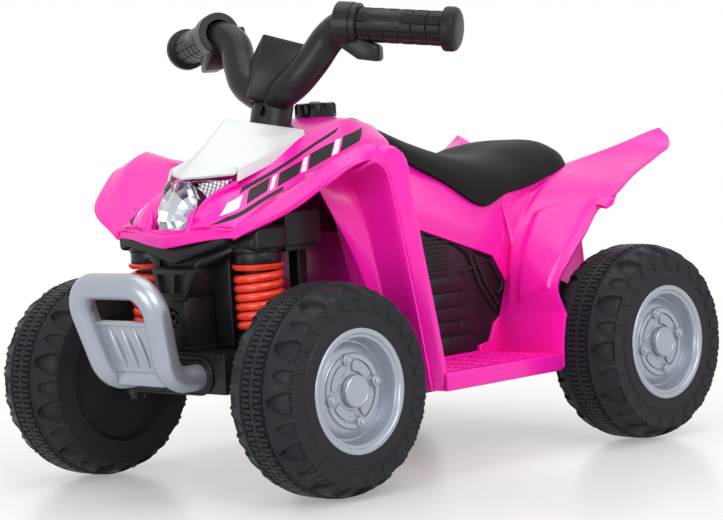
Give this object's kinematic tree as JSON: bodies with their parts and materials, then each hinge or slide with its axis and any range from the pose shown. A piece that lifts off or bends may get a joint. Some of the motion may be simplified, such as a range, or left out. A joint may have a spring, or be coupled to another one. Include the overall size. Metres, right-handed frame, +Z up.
{
  "type": "ride-on quad bike",
  "caption": "Child's battery ride-on quad bike with handlebar steering, a tube bumper with a skid plate, moulded fenders, footwells and a saddle.",
  "frame": {"origin": "on the ground, under the middle of the overall box", "axes": "+X forward, +Y to the rider's left, +Z up"},
  "size_m": [0.635, 0.454, 0.437],
  "materials": {
    "body_plastic": "glossy bright pink moulding",
    "black_plastic": "satin black moulding",
    "tyre_plastic": "matt black blow moulding",
    "silver_plastic": "silver-grey satin moulding",
    "white_plastic": "glossy white moulding",
    "clear_plastic": "clear polished",
    "lamp_mirror": "bright metallised",
    "spring_plastic": "glossy orange-red",
    "button_plastic": "smooth grey",
    "steel": "zinc-plated",
    "gear_plastic": "natural nylon",
    "battery_plastic": "matt dark case"
  },
  "bodies": {
    "chassis": {"front_cowl": "body_plastic", "main_body": "body_plastic", "front_frame": "black_plastic", "front_axle_beam": "black_plastic", "nose_guard": "black_plastic", "damper_left": "black_plastic", "damper_right": "black_plastic", "engine_panel_left": "black_plastic", "engine_panel_right": "black_plastic", "seat": "black_plastic", "fuel_cap": "black_plastic", "chassis_tray": "black_plastic", "gearbox_base": "black_plastic", "gearbox_cover": "black_plastic", "charge_socket": "black_plastic", "switch_bezel": "black_plastic", "axle_sleeve": "black_plastic", "column_bushes": "black_plastic", "bumper": "silver_plastic", "hood_panel": "white_plastic", "headlight_lens": "clear_plastic", "lamp_bowl": "lamp_mirror", "side_reflectors": "lamp_mirror", "spring_left": "spring_plastic", "spring_right": "spring_plastic", "rear_axle": "steel", "rear_axle_nuts": "steel", "kingpins": "steel", "gear_pins": "steel", "motor": "steel", "battery": "battery_plastic"},
    "steering": {"steering_column": "steel", "handlebar": "black_plastic", "handlebar_pad": "black_plastic", "grip_left": "black_plastic", "grip_right": "black_plastic", "switch_housing_left": "black_plastic", "switch_housing_right": "black_plastic"},
    "drive_button": {"drive_button": "button_plastic"},
    "start_button": {"start_button": "button_plastic"},
    "direction_switch": {"direction_switch": "button_plastic"},
    "knuckle_left": {"knuckle_left": "black_plastic", "stub_axle_left": "steel"},
    "knuckle_right": {"knuckle_right": "black_plastic", "stub_axle_right": "steel"},
    "tie_rod": {"tie_rod": "black_plastic"},
    "wheel_front_left": {"tyre_front_left": "tyre_plastic", "rim_front_left": "silver_plastic"},
    "wheel_front_right": {"tyre_front_right": "tyre_plastic", "rim_front_right": "silver_plastic"},
    "wheel_rear_left": {"tyre_rear_left": "tyre_plastic", "rim_rear_left": "silver_plastic", "drive_gear": "gear_plastic"},
    "wheel_rear_right": {"tyre_rear_right": "tyre_plastic", "rim_rear_right": "silver_plastic"},
    "motor_pinion": {"motor_pinion": "gear_plastic"},
    "first_gear": {"first_gear": "gear_plastic"},
    "second_gear": {"second_gear": "gear_plastic"}
  },
  "joints": [
    {"name": "steer", "type": "hinge", "parent": "chassis", "child": "steering", "pos_m": [0.101, 0, 0.325], "axis": [-0.2588, 0, 0.9659], "range_deg": [-22, 22]},
    {"name": "knuckle_left_turn", "type": "hinge", "parent": "chassis", "child": "knuckle_left", "pos_m": [0.198, 0.103, 0.095], "axis": [0, 0, 1], "range_deg": [-22, 22]},
    {"name": "knuckle_right_turn", "type": "hinge", "parent": "chassis", "child": "knuckle_right", "pos_m": [0.198, -0.103, 0.095], "axis": [0, 0, 1], "range_deg": [-22, 22]},
    {"name": "tie_rod_turn", "type": "hinge", "parent": "knuckle_left", "child": "tie_rod", "pos_m": [0.164, 0.103, 0.114], "axis": [0, 0, 1], "range_deg": [-22, 22]},
    {"name": "wheel_front_left_spin", "type": "hinge", "parent": "knuckle_left", "child": "wheel_front_left", "pos_m": [0.198, 0.157, 0.095], "axis": [0, 1, 0], "continuous": true},
    {"name": "wheel_front_right_spin", "type": "hinge", "parent": "knuckle_right", "child": "wheel_front_right", "pos_m": [0.198, -0.157, 0.095], "axis": [0, 1, 0], "continuous": true},
    {"name": "wheel_rear_left_spin", "type": "hinge", "parent": "chassis", "child": "wheel_rear_left", "pos_m": [-0.198, 0.188, 0.095], "axis": [0, 1, 0], "continuous": true},
    {"name": "wheel_rear_right_spin", "type": "hinge", "parent": "chassis", "child": "wheel_rear_right", "pos_m": [-0.198, -0.188, 0.095], "axis": [0, 1, 0], "continuous": true},
    {"name": "second_gear_spin", "type": "hinge", "parent": "chassis", "child": "second_gear", "pos_m": [-0.17572, 0.115, 0.1106], "axis": [0, 1, 0], "continuous": true},
    {"name": "first_gear_spin", "type": "hinge", "parent": "chassis", "child": "first_gear", "pos_m": [-0.15606, 0.115, 0.12437], "axis": [0, 1, 0], "continuous": true},
    {"name": "motor_spin", "type": "hinge", "parent": "chassis", "child": "motor_pinion", "pos_m": [-0.1364, 0.115, 0.13813], "axis": [0, 1, 0], "continuous": true},
    {"name": "start_press", "type": "slide", "parent": "chassis", "child": "start_button", "axis": [0, 0, -1], "range_m": [0, 0.002], "stiffness_N_per_m": 900, "springref_m": -0.001},
    {"name": "drive_press", "type": "slide", "parent": "steering", "child": "drive_button", "axis": [0.908, -0.4191, 0], "range_m": [0, 0.003], "stiffness_N_per_m": 900, "springref_m": -0.001},
    {"name": "direction_rock", "type": "hinge", "parent": "chassis", "child": "direction_switch", "pos_m": [0.045, -0.091, 0.19], "axis": [0, 0, 1], "range_deg": [-8, 8]}
  ],
  "couplings": [
    {"joint": "knuckle_left_turn", "follows": "steer", "ratio": 1},
    {"joint": "knuckle_right_turn", "follows": "steer", "ratio": 1},
    {"joint": "tie_rod_turn", "follows": "steer", "ratio": -1},
    {"joint": "second_gear_spin", "follows": "wheel_rear_left_spin", "ratio": -4.6667},
    {"joint": "first_gear_spin", "follows": "wheel_rear_left_spin", "ratio": 23.333},
    {"joint": "motor_spin", "follows": "wheel_rear_left_spin", "ratio": -116.67}
  ]
}
